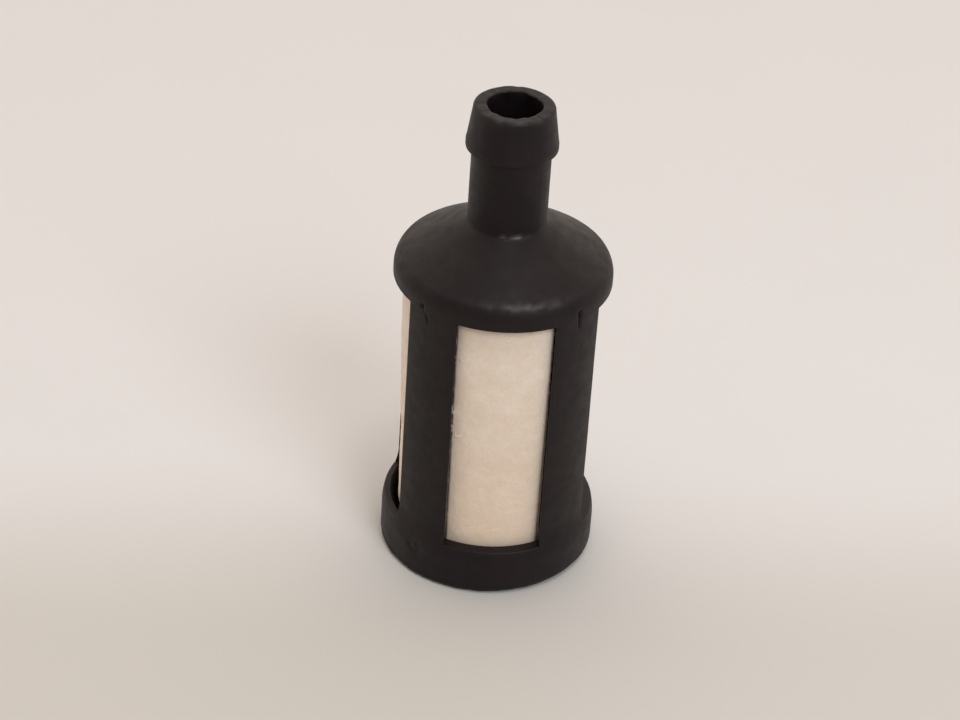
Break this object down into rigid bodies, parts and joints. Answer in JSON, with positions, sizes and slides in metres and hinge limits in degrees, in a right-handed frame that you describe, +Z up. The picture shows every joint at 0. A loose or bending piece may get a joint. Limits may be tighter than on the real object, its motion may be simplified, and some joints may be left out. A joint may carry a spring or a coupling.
{
  "type": "fuel filter",
  "caption": "Small in-tank fuel filter: a black moulded cage with a barbed hose stem and tall windows onto a white felt sleeve.",
  "frame": {"origin": "centre of the base, on the surface the filter stands on", "axes": "+Z up along the filter's axis towards the hose stem, -Y through the middle of the front window, +X through the middle of the right window"},
  "size_m": [0.0144, 0.0144, 0.033],
  "materials": {
    "black_plastic": "satin, fuel-resistant nylon as moulded, with faint parting lines",
    "white_felt": "dense off-white needled felt with short loose fibres",
    "screen_nylon": "fine woven nylon screen",
    "natural_nylon": "undyed milky nylon as moulded"
  },
  "bodies": {
    "root": {"cage_housing": "black_plastic", "end_cap": "black_plastic", "felt_sleeve": "white_felt", "screen_sleeve": "screen_nylon", "support_core": "natural_nylon"}
  },
  "joints": []
}
